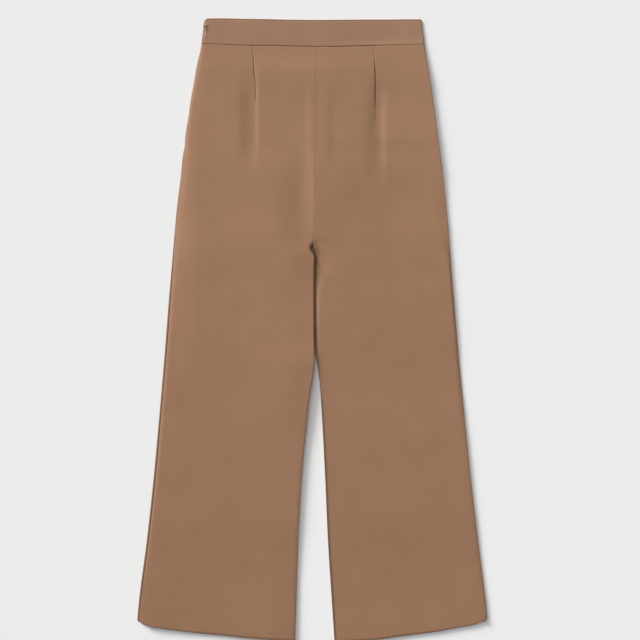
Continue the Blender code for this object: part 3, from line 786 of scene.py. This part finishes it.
def crepe(name, base, depth, shade_colour, pebble_strength):
    material, tree, shader = new_material(
        name, Roughness=0.88, Sheen_Weight=0.12, Sheen_Roughness=0.45, Specular_IOR_Level=0.25
    )
    uv = add_node(tree, "ShaderNodeUVMap", uv_map="cloth").outputs["UV"]
    parts = add_node(tree, "ShaderNodeSeparateXYZ", {"Vector": uv})
    waves = []
    for axis in "XY":
        angle = {0: parts.outputs[axis], 1: 2 * math.pi / TWO_THREADS}
        turn = add_node(tree, "ShaderNodeMath", angle, operation="MULTIPLY")
        waves.append(add_node(tree, "ShaderNodeMath", {0: turn.outputs[0]}, operation="SINE").outputs[0])
    weave = add_node(tree, "ShaderNodeMath", {0: waves[0], 1: waves[1]}, operation="MULTIPLY")
    pebble = add_node(
        tree, "ShaderNodeTexNoise", {"Vector": uv, "Scale": 1 / PEBBLE, "Detail": 2.0, "Roughness": 0.6}
    )
    relief = add_node(
        tree,
        "ShaderNodeMath",
        {0: weave.outputs[0], 1: WEAVE_SHARE, 2: pebble.outputs["Fac"]},
        operation="MULTIPLY_ADD",
    )
    bump = add_node(
        tree,
        "ShaderNodeBump",
        {"Height": relief.outputs[0], "Strength": pebble_strength, "Distance": CREPE_RELIEF},
    )
    tree.links.new(bump.outputs["Normal"], shader.inputs["Normal"])

    cloth_place = add_node(tree, "ShaderNodeTexCoord").outputs["Object"]
    mottle = add_node(
        tree,
        "ShaderNodeTexNoise",
        {"Vector": cloth_place, "Scale": 1 / MOTTLE, "Detail": 4.0, "Roughness": 0.55},
    )
    fibre = add_node(
        tree, "ShaderNodeTexNoise", {"Vector": uv, "Scale": 1 / FIBRE, "Detail": 3.0, "Roughness": 0.7}
    )
    wander = add_node(
        tree,
        "ShaderNodeMath",
        {0: fibre.outputs["Fac"], 1: FIBRE_SHARE, 2: mottle.outputs["Fac"]},
        operation="MULTIPLY_ADD",
    )
    # painted light falloff down the length of the garment, added to the colour's random wander
    along = add_node(tree, "ShaderNodeSeparateXYZ", {"Vector": cloth_place}).outputs["Y"]
    painted_falloff = add_node(
        tree,
        "ShaderNodeMapRange",
        {0: along, 1: -HALF_LENGTH, 2: HALF_LENGTH, 3: HEM_TONE, 4: WAIST_TONE},
    )
    tone = add_node(tree, "ShaderNodeMath", {0: wander.outputs[0], 1: painted_falloff.outputs[0]}, operation="ADD")
    share = add_node(tree, "ShaderNodeMapRange", {0: tone.outputs[0], 1: DEEPEST_TONE, 2: LIGHTEST_TONE})
    dye_with_falloff = add_node(
        tree,
        "ShaderNodeMix",
        {0: share.outputs[0], 6: linear(depth), 7: linear(base)},
        data_type="RGBA",
    )
    # painted shade from the second UV map: the folded edges, the hem and the crotch go towards the shade
    # colour
    pressed = add_node(tree, "ShaderNodeUVMap", uv_map="pressed").outputs["UV"]
    darkened = add_node(
        tree,
        "ShaderNodeMix",
        {0: pressed, 6: dye_with_falloff.outputs[2], 7: linear(shade_colour)},
        data_type="RGBA",
    )
    tree.links.new(darkened.outputs[2], shader.inputs["Base Color"])
    return material


# the last colour of each cloth is its painted shade
leg_crepe = crepe("polyester crepe, camel", "#A17B60", "#946F55", "#573820", 0.35)
band_crepe = crepe("interlined crepe, camel", "#A07C64", "#937058", "#573820", 0.3)
print("materials:", leg_crepe.name, "and", band_crepe.name)

# %% [markdown]
# Now the four panels are cut and laid, fronts first.

# %% The legs
for layer in ("front", "back"):
    for side in ("left", "right"):
        make_panel(side, layer, leg_crepe)

# %% [markdown]
# ## Waistband
# One strip of interlined crepe, folded along its upper edge. It starts at the zip, runs under the
# waist, round the fold at the wearer's right and back over to the zip. It could be a bent box, but
# as a sheet whose columns follow that way round it keeps one unbroken weave.

# %% Waistband's form
BAND_REACH = {"left": 7.5, "right": 3.0}
ZIP_OPENING = 1.5
BAND_FLANKS = [
    # x, width across, rise towards +x
    (-156, 14, -0.35),
    (-112, 60, 1.0),
    (-30, 60, -0.5),
    (50, 50, -1.5),
    (92, 40, -0.8),
    (146, 26, 0.75),
]
SEAM_HOLD = 0.6                        # how much of these flanks the waist seam holds down
SEAM_HOLDS = (0.75, 1.0)               # and from where, of the way down to it
PRESSED_EDGE = (1.5, 0.55, 0.4)        # below the upper edge, half width, depth
BAND_END_FALL = 3.6                    # the corner at the zip is rounded off by this much
BAND_END_REACH = 2.6
BAND_END_EASE = (0, 0.2)               # of the way down
END_SHARES = np.array([0.003, 0.008, 0.016, 0.026])
BAND_SHARES = np.concatenate([END_SHARES, np.linspace(0.04, 0.96, 66), 1 - END_SHARES[::-1]])
NEAR_TOP = [0, 0.008, 0.016, 0.024, 0.032, 0.04, 0.05, 0.065, 0.09, 0.13]
NEAR_SEAM = [0.94, 0.96, 0.972, 0.982, 0.989, 0.995, 1.0]
BAND_LEVELS = np.concatenate([NEAR_TOP, np.linspace(0.19, 0.9, 13), NEAR_SEAM])


def band_flanks(x):
    return sum(
        rise * ease(middle - width / 2, middle + width / 2, x) for middle, width, rise in BAND_FLANKS
    )


def band_grid():
    """Outer face of the band in millimetres, from its upper edge to the waist seam."""
    angle = np.linspace(0, math.pi / 2, FOLD_STEPS)
    reach, lift = 1 - np.cos(angle), np.sin(angle)
    # each column: the end it belongs to, how far in from it, and its height from -1 to 1
    spots = [("left", r, -s) for r, s in zip(reach, lift)]
    spots += [(share, 0, -1) for share in BAND_SHARES]
    spots += [("right", r, -s) for r, s in zip(reach[::-1], lift[::-1])]
    spots += [("right", r, s) for r, s in zip(reach[1:], lift[1:])]
    spots += [(share, 0, 1) for share in BAND_SHARES[::-1]]
    spots += [("left", r, s) for r, s in zip(reach[::-1], lift[::-1])]
    left, right = [outseam[side](BAND_DEPTH * BAND_LEVELS) for side in ("left", "right")]
    x = np.empty((len(BAND_LEVELS), len(spots)))
    z = np.empty_like(x)
    for i, (spot, inset, rise) in enumerate(spots):
        if spot in ("left", "right"):
            x[:, i] = (left if spot == "left" else right) + INWARD[spot] * BAND_REACH[spot] * inset
        else:
            x[:, i] = left + BAND_REACH["left"] + (right - left - sum(BAND_REACH.values())) * spot
        open_by = ZIP_OPENING / 2 if spot == "left" else 0.0
        over = i >= len(spots) / 2
        half = BAND_HEIGHT / 2 - open_by
        z[:, i] = BAND_HEIGHT / 2 + (1 if over else -1) * (open_by + half * abs(rise))
    level = BAND_LEVELS[:, None]
    lifted = np.maximum(0, z / BAND_HEIGHT * 2 - 1)
    z = z + lifted * band_flanks(x) * (1 - SEAM_HOLD * ease(*SEAM_HOLDS, level))
    upper = band_upper(x)
    down = upper + (band_seam(x) - upper) * level
    below, half_width, depth = PRESSED_EDGE
    z = z - lifted * depth * near_edge(down - upper - below, half_width)
    corner = BAND_END_FALL * near_edge(x - outseam["left"](0), BAND_END_REACH)
    corner = corner * (1 - ease(*BAND_END_EASE, level))
    return on_board(x, down + corner * (1 - level), z)


# %% [markdown]
# The strip's outer face goes once round the waist. Its inner face runs the same way behind it, and
# both meet in the rounded fold at the upper edge. The first half of the columns lies under the
# waist, so that is where the sheet's outward side is known: it faces the board.

# %% Waistband
BAND_PLY = 0.75
BAND_ROUND = 1.0
BAND_END_ROLL = (0.4, 0.8)             # depth and radius of the roll at the two ends
# painted shade on the band: all over its inner ply and fold, and on its outer face just below the upper
# edge
BAND_SHADE = 0.18
TOP_RIM = (0.8, 2.2)                   # painted shade up to here from the upper edge, and gone here
HALF_UNDER = 4                         # the middle of the under half is at a quarter of the columns


def make_waistband(material):
    points = band_grid()
    normal = normals_of(points, -1, HALF_UNDER)
    from_end = np.minimum(run_length(points, 1), run_from_end(points, 1))
    roll = rolled(run_from_end(points, 0), waist_roll(points[..., 0]), SEAM_ROUND)
    roll = np.maximum(roll, rolled(from_end, *BAND_END_ROLL))
    outer = points - normal * roll[..., None]
    outward = unit(points[0] - points[1])
    turns = edge_turn(outer[0], outward, normal[0], BAND_ROUND, EDGE_TURNS[:0:-1])
    inside = (points - normal * 2 * BAND_ROUND)[-2:0:-1]
    full = above_board(np.concatenate([inside, turns, outer]))
    uv = np.stack([run_length(full, 1), run_length(full, 0)], axis=-1) * MM
    # painted shade: full on the inner ply and fold, fading out on the outer face below its upper edge
    rim = np.full(full.shape[:2], BAND_SHADE)
    rim[-len(outer):] = BAND_SHADE * (1 - ease(*TOP_RIM, run_length(outer, 0)))
    columns = full.shape[1]
    face = (full.shape[0] - points.shape[0] // 2) * (columns - 1) + columns // HALF_UNDER
    band = lay_sheet("waistband_cloth", full * MM, uv, BAND_PLY, (face, (0, 0, -1)), rim)
    band.data.materials.append(material)
    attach(band, "garment")
    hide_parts("waistband")
    return band


waistband = make_waistband(band_crepe)

# %% [markdown]
# ## The hidden zip
# The zip lies inside the fold of the wearer's left side seam, and only its slider and pull come out,
# between the two ends of the waistband. Two woven tapes lie on each other with a fine coil along
# their outer edge. A coil could be a curve with a round bevel, but its turns would cost hundreds
# of faces each. Here one turn is bent from a thin tube, and copies of it are joined into one mesh.
# Woven tape shows fine ribs across it with a faint sheen, and the nylon of the coil is smoother.

# %% Zip sizes and shared helpers
ZIP_LENGTH = 207.0
CAD_MID = 2.8                          # the height of the zip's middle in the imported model
SLIDER_DOWN, SLIDER_DEPTH, SLIDER_WALL = 10.5, 3.4, 0.5
zip_edge = outseam["left"]


def finish_piece(piece, body, node, material, smooth_angle=40):
    """Applies what moved the piece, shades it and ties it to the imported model."""
    bpy.ops.object.select_all(action="DESELECT")
    piece.select_set(True)
    bpy.context.view_layer.objects.active = piece
    bpy.ops.object.transform_apply(location=True, rotation=True, scale=True)
    bpy.ops.object.shade_smooth_by_angle(angle=math.radians(smooth_angle))
    piece.select_set(False)
    piece.data.materials.clear()
    piece.data.materials.append(material)
    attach(piece, body)
    if node:
        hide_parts(node)
    print(piece.name, len(piece.data.polygons), "faces")


def join_all(pieces, name):
    bpy.ops.object.select_all(action="DESELECT")
    for piece in pieces:
        piece.select_set(True)
    bpy.context.view_layer.objects.active = pieces[0]
    bpy.ops.object.join()
    joined = bpy.context.object
    joined.name = joined.data.name = name
    joined.select_set(False)
    return joined


# %% Tape
TAPE_TOP = SLIDER_DOWN + SLIDER_DEPTH
TAPE_INSET, TAPE_WIDTH, TAPE_WALL = 3.0, 17.0, 0.32
TAPE_HEIGHTS = {"upper_tape": CAD_MID + 0.38, "lower_tape": CAD_MID - 0.06}
TAPE_RIPPLE, RIPPLE_TURN = 0.05, 9     # its height, and how far its sine runs across the tape
TAPE_RIB = 0.785 * MM
WAVE_BAND = math.pi / 10               # how far apart a Wave node's bands are at scale 1
TAPE_COLUMNS, TAPE_ROWS = 8, 50
tape_weave, tape_tree, tape_shader = new_material(
    "woven polyester zip tape", Base_Color=linear("#8A6A55"), Roughness=0.75, Sheen_Weight=0.1
)
tape_place = add_node(tape_tree, "ShaderNodeTexCoord").outputs["Object"]
ribs = add_node(
    tape_tree,
    "ShaderNodeTexWave",
    {"Vector": tape_place, "Scale": WAVE_BAND / TAPE_RIB, "Distortion": 0.6},
    bands_direction="Y",
)
rib_bump = add_node(
    tape_tree, "ShaderNodeBump", {"Height": ribs.outputs["Fac"], "Strength": 0.5, "Distance": 0.1 * MM}
)
tape_tree.links.new(rib_bump.outputs["Normal"], tape_shader.inputs["Normal"])


def make_tape(name, z):
    columns, rows = np.linspace(0, 1, TAPE_COLUMNS), np.linspace(TAPE_TOP, ZIP_LENGTH, TAPE_ROWS)
    across, down = np.meshgrid(columns, rows)
    x = zip_edge(down) + TAPE_INSET + across * TAPE_WIDTH
    points = place(x, down, z + TAPE_RIPPLE * np.sin(across * RIPPLE_TURN))
    uv = np.stack([x, down], axis=-1) * MM
    return lay_sheet(name, points, uv, TAPE_WALL, (0, (0, 0, 1)))


zip_tape = join_all([make_tape(name, z) for name, z in TAPE_HEIGHTS.items()], "zip_tape_pair")
finish_piece(zip_tape, "garment", "zip_tape", tape_weave)

# %% Coil
COIL_PITCH, COIL_WIRE = 1.3, 0.32
COIL_REACH, COIL_HALF = 1.9, 0.55      # width of a whole turn, half of it drawn, and half its height
COIL_LEAN = 0.35                       # each loop runs on towards the next by this much
COIL_ON_TAPE = 1.2                     # it is sewn on this far in from the tapes' edge
COIL_START, COIL_SHORT = TAPE_TOP + 1, 4.0                 # its first turn, and how short of the end
COIL_FLARE = 0.2                       # half the wire at the bend, as a share of the loop's reach
COIL_SEGMENTS, COIL_SIDES = 7, 6


def make_coil():
    """One coil loop for each pitch, from a thin tube bent round the tapes' edge."""
    turns = int((ZIP_LENGTH - COIL_SHORT - TAPE_TOP) / COIL_PITCH)
    bpy.ops.mesh.primitive_cylinder_add(
        vertices=COIL_SIDES, radius=1, depth=1, end_fill_type="NOTHING"
    )
    wire = bpy.context.object
    bpy.ops.object.mode_set(mode="EDIT")
    bpy.ops.mesh.select_all(action="SELECT")
    bpy.ops.mesh.subdivide(number_cuts=COIL_SEGMENTS - 1)
    bpy.ops.object.mode_set(mode="OBJECT")
    for point in wire.data.vertices:
        turn = math.pi * (point.co.z + 0.5)
        ring = math.atan2(point.co.y, point.co.x)
        out = COIL_HALF + COIL_WIRE / 2 * math.cos(ring)
        point.co = (
            -COIL_REACH / 2 * math.sin(turn) * (1 + COIL_FLARE * math.cos(ring)),
            COIL_WIRE / 2 * math.sin(ring) + COIL_LEAN * point.co.z,
            out * math.cos(turn),
        )
        point.co *= MM
    base = wire.data.copy()
    loops = [wire]
    for _ in range(1, turns):
        loop = bpy.data.objects.new("turn", base)
        scene.collection.objects.link(loop)
        loops.append(loop)
    for i, loop in enumerate(loops):
        down = COIL_START + i * COIL_PITCH
        loop.location = place(zip_edge(down) + TAPE_INSET + COIL_ON_TAPE, down, CAD_MID)
    return join_all(loops, "zip_coil")


coil_nylon, _, _ = new_material("nylon coil", Base_Color=linear("#7E604C"), Roughness=0.4)
finish_piece(make_coil(), "garment", None, coil_nylon)

# %% [markdown]
# The slider is a strip of enamelled zinc, bent from the zip round the fold and up on the waistband,
# with two ears that carry the pull's bar. The pull is a drop-shaped tab on a ring that hangs on this
# bar. Its edges are rounded, it is bent down to lie close on the band, and it has a shallow hollow
# where a thumb takes hold of it. Both are thin and bent, so they start as sheets too. The enamel is
# very slightly uneven, as sprayed enamel is.

# %% Enamel
ENAMEL_SPECKLE = 0.4 * MM
enamel, enamel_tree, enamel_shader = new_material(
    "enamelled zinc, dyed to match", Base_Color=linear("#AE917A"), Roughness=0.6, Coat_Weight=0.1
)
enamel_place = add_node(enamel_tree, "ShaderNodeTexCoord").outputs["Object"]
speckle = add_node(
    enamel_tree,
    "ShaderNodeTexNoise",
    {"Vector": enamel_place, "Scale": 1 / ENAMEL_SPECKLE, "Detail": 3.0},
)
orange_peel = add_node(
    enamel_tree,
    "ShaderNodeBump",
    {"Height": speckle.outputs["Fac"], "Strength": 0.12, "Distance": 0.05 * MM},
)
enamel_tree.links.new(orange_peel.outputs["Normal"], enamel_shader.inputs["Normal"])

# %% Slider
BAR_ACROSS, BAR_RISE, BAR_RADIUS = 2.9, 5.12, 0.4      # in from the outseam, over the zip's middle
BAR_IN_EAR = 0.5                                       # how far it is set in each ear
RING_INNER, RING_OUTER, RING_WIDTH = 0.65, 1.1, 1.6
EAR_GAP, EAR_WALL = 0.35, 0.7
EAR_FOOT, EAR_HEAD = 1.9, 1.0                          # how long each ear is, at its foot and its head
EAR_SINK, EAR_TOP = 0.2, 0.45                          # into the strip, and over the bar's axis
ROUND_BAR = (0, math.pi / 2, 0)                        # turns a round primitive's axis to x
bar_at = Vector(place(zip_edge(SLIDER_DOWN) + BAR_ACROSS, SLIDER_DOWN, CAD_MID + BAR_RISE))
SLIDER_BEND = {
    "run": [0.0, 7.35, 8.2, 9.9, 11.3, 13.0, 16.4],
    "inward": [7.0, -0.45, -0.65, 0.1, 1.3, 3.0, 6.4],
    "rise": [0.0, 0.0, 0.9, 2.4, 2.8, 2.9, 2.9],
}
STRIP_COLUMNS, STRIP_ROWS = 34, 5
ON_BAND = STRIP_COLUMNS - 4            # a face of the strip's upper end, which faces up
bend_inward = curve_through(SLIDER_BEND, "run", "inward")
bend_rise = curve_through(SLIDER_BEND, "run", "rise")


def add_bevel(piece, width, angle=35, segments=3):
    bpy.context.view_layer.objects.active = piece
    bevel = piece.modifiers.new("Rounded edges", "BEVEL")
    bevel.width, bevel.segments = width * MM, segments
    bevel.limit_method, bevel.angle_limit = "ANGLE", math.radians(angle)
    bpy.ops.object.modifier_apply(modifier=bevel.name)


def make_slider():
    columns = np.linspace(0, SLIDER_BEND["run"][-1], STRIP_COLUMNS)
    run, row = np.meshgrid(columns, np.linspace(-0.5, 0.5, STRIP_ROWS))
    x, z = bend_inward(run) - BAR_ACROSS, bend_rise(run) - BAR_RISE
    points = np.stack([x, row * SLIDER_DEPTH, z], axis=-1) * MM
    strip = lay_sheet("slider_strip", points, points[..., :2].copy(), SLIDER_WALL, (ON_BAND, (0, 0, 1)))
    strip.location = bar_at
    add_bevel(strip, width=0.18)
    pieces = [strip]
    inner = RING_WIDTH / 2 + EAR_GAP
    pad_top = SLIDER_BEND["rise"][-1] - BAR_RISE
    for sign in (-1, 1):
        bpy.ops.mesh.primitive_cube_add(size=1)
        ear = bpy.context.object
        for point in ear.data.vertices:
            point.co.x = (sign * (inner + EAR_WALL / 2) + point.co.x * EAR_WALL) * MM
            point.co.y = point.co.y * (EAR_FOOT if point.co.z < 0 else EAR_HEAD) * MM
            point.co.z = (pad_top - EAR_SINK if point.co.z < 0 else EAR_TOP) * MM
        ear.location = bar_at
        add_bevel(ear, width=0.2)
        pieces.append(ear)
    bpy.ops.mesh.primitive_cylinder_add(
        vertices=24,
        radius=BAR_RADIUS * MM,
        depth=2 * (inner + BAR_IN_EAR) * MM,
        location=bar_at,
        rotation=ROUND_BAR,
    )
    pieces.append(bpy.context.object)
    return join_all(pieces, "zip_slider_body")


finish_piece(make_slider(), "garment", "zip_slider", enamel)


# %% Pull
PULL_LENGTH, PULL_WIDTH, PULL_WALL = 19.0, 4.0, 0.55
NECK_HALF = 0.62                       # half its width at the ring
WIDENS = (0.05, 0.72)                  # shares of the length between which it grows to its width
ROUND_END = 0.28                       # the share of the length that its round end takes
LEAST_END = 0.02                       # keeps the last row from closing to a point
HOLLOW_DEPTH, HOLLOW_LONG, HOLLOW_ACROSS = 0.15, 0.16, 1.1
PULL_BEND = 1.9                        # how far below its ring the tab lies
BENDS = (-0.1, 0.5)
IN_RING = 0.25                         # how far the tab's end is set in the ring's wall
PULL_CLEARANCE = 0.05
PULL_COLUMNS, PULL_ROWS = 13, 34


def pull_half_width(along):
    width = NECK_HALF + (PULL_WIDTH / 2 - NECK_HALF) * ease(*WIDENS, along)
    round_share = np.maximum(0, (along - (1 - ROUND_END)) / ROUND_END)
    return width * np.sqrt(np.maximum(LEAST_END, 1 - round_share ** 2))


def make_pull():
    over_band = CAD_MID + BAR_RISE - BAND_HEIGHT - PULL_BEND - PULL_WALL / 2 - PULL_CLEARANCE
    fall = math.asin(over_band / (PULL_LENGTH + RING_INNER))
    side_turns = np.linspace(-math.pi / 2, math.pi / 2, PULL_COLUMNS)
    end_turns = np.linspace(0, math.pi, PULL_ROWS)
    across, along = np.meshgrid(np.sin(side_turns), (1 - np.cos(end_turns)) / 2)
    x = across * pull_half_width(along)
    y = -(RING_INNER + IN_RING + along * PULL_LENGTH)
    hollow = HOLLOW_DEPTH * near_edge(along - WIDENS[1], HOLLOW_LONG) * near_edge(x, HOLLOW_ACROSS)
    bent = PULL_BEND * ease(*BENDS, along)
    points = np.stack([x, y, PULL_WALL / 2 - hollow - bent], axis=-1) * MM
    tab = lay_sheet("pull_tab", points, points[..., :2].copy(), PULL_WALL, (0, (0, 0, 1)))
    add_bevel(tab, width=0.22, angle=50)
    tab.rotation_euler = (fall, 0, 0)
    tab.location = bar_at
    bpy.ops.mesh.primitive_torus_add(
        major_segments=40,
        minor_segments=14,
        major_radius=(RING_INNER + RING_OUTER) / 2 * MM,
        minor_radius=(RING_OUTER - RING_INNER) / 2 * MM,
        location=bar_at,
        rotation=ROUND_BAR,
    )
    ring = bpy.context.object
    ring.scale = (1, 1, RING_WIDTH / (RING_OUTER - RING_INNER))
    return join_all([tab, ring], "zip_pull_body")


finish_piece(make_pull(), "pull_tab", "zip_pull", enamel)

# %% [markdown]
# ## Floor and light
# The studio is a white board under one very broad light from the upper left. It is broad enough
# that the shadow to the right of each leg fades out within a couple of centimetres. Area lights
# would do as well, but suns with a wide angle light the whole board evenly. The board's matt paint
# has no shine, only a faint grain that keeps it from looking computed.

# %% Board
BOARD_GRAIN = 9 * MM
BOARD_WHITES = ("#EEEEEE", "#EFEFEF")
BOARD_DROP = 0.4 * MM                  # keeps it clear of the cloth's underside
board, board_tree, board_shader = new_material(
    "matt white board", Roughness=0.95, Specular_IOR_Level=0.0
)
board_place = add_node(board_tree, "ShaderNodeTexCoord").outputs["Object"]
grain = add_node(
    board_tree, "ShaderNodeTexNoise", {"Vector": board_place, "Scale": 1 / BOARD_GRAIN, "Detail": 2.0}
)
white = add_node(
    board_tree,
    "ShaderNodeMix",
    {0: grain.outputs["Fac"], 6: linear(BOARD_WHITES[0]), 7: linear(BOARD_WHITES[1])},
    data_type="RGBA",
)
board_tree.links.new(white.outputs[2], board_shader.inputs["Base Color"])
bpy.ops.mesh.primitive_plane_add(size=8, location=(0, 0, -BOARD_DROP))
floor = bpy.context.object
floor.name = "floor"
floor.data.materials.append(board)
floor.select_set(False)
print("board", round(floor.dimensions.x), "m wide")


# %% Light
FILL_LIGHT, BACKDROP = 0.09, 0.83      # what lights the cloth, and what the camera sees beyond it


def sun(name, azimuth, elevation, spread, strength):
    """A far, broad light; azimuth 135 is the photo's upper left."""
    data = bpy.data.lights.new(name, "SUN")
    data.energy, data.angle = strength, math.radians(spread)
    light = bpy.data.objects.new(name, data)
    scene.collection.objects.link(light)
    a, e = math.radians(azimuth), math.radians(elevation)
    from_light = Vector((math.cos(a) * math.cos(e), math.sin(a) * math.cos(e), math.sin(e)))
    light.rotation_euler = from_light.to_track_quat("Z", "Y").to_euler()
    return light


sun("window", azimuth=137, elevation=24, spread=24, strength=3.38)
sun("sky", azimuth=135, elevation=58, spread=50, strength=1.01)
sun("ceiling", azimuth=0, elevation=89, spread=60, strength=0.53)

world = bpy.data.worlds.new("studio")
scene.world = world
world.use_nodes = True
sky = world.node_tree
background = sky.nodes["Background"]
background.inputs["Color"].default_value = linear("#FFFFFF")
seen = add_node(sky, "ShaderNodeLightPath").outputs["Is Camera Ray"]
light_level = add_node(sky, "ShaderNodeMapRange", {0: seen, 3: FILL_LIGHT, 4: BACKDROP})
sky.links.new(light_level.outputs[0], background.inputs["Strength"])
scene.view_settings.view_transform = "Standard"
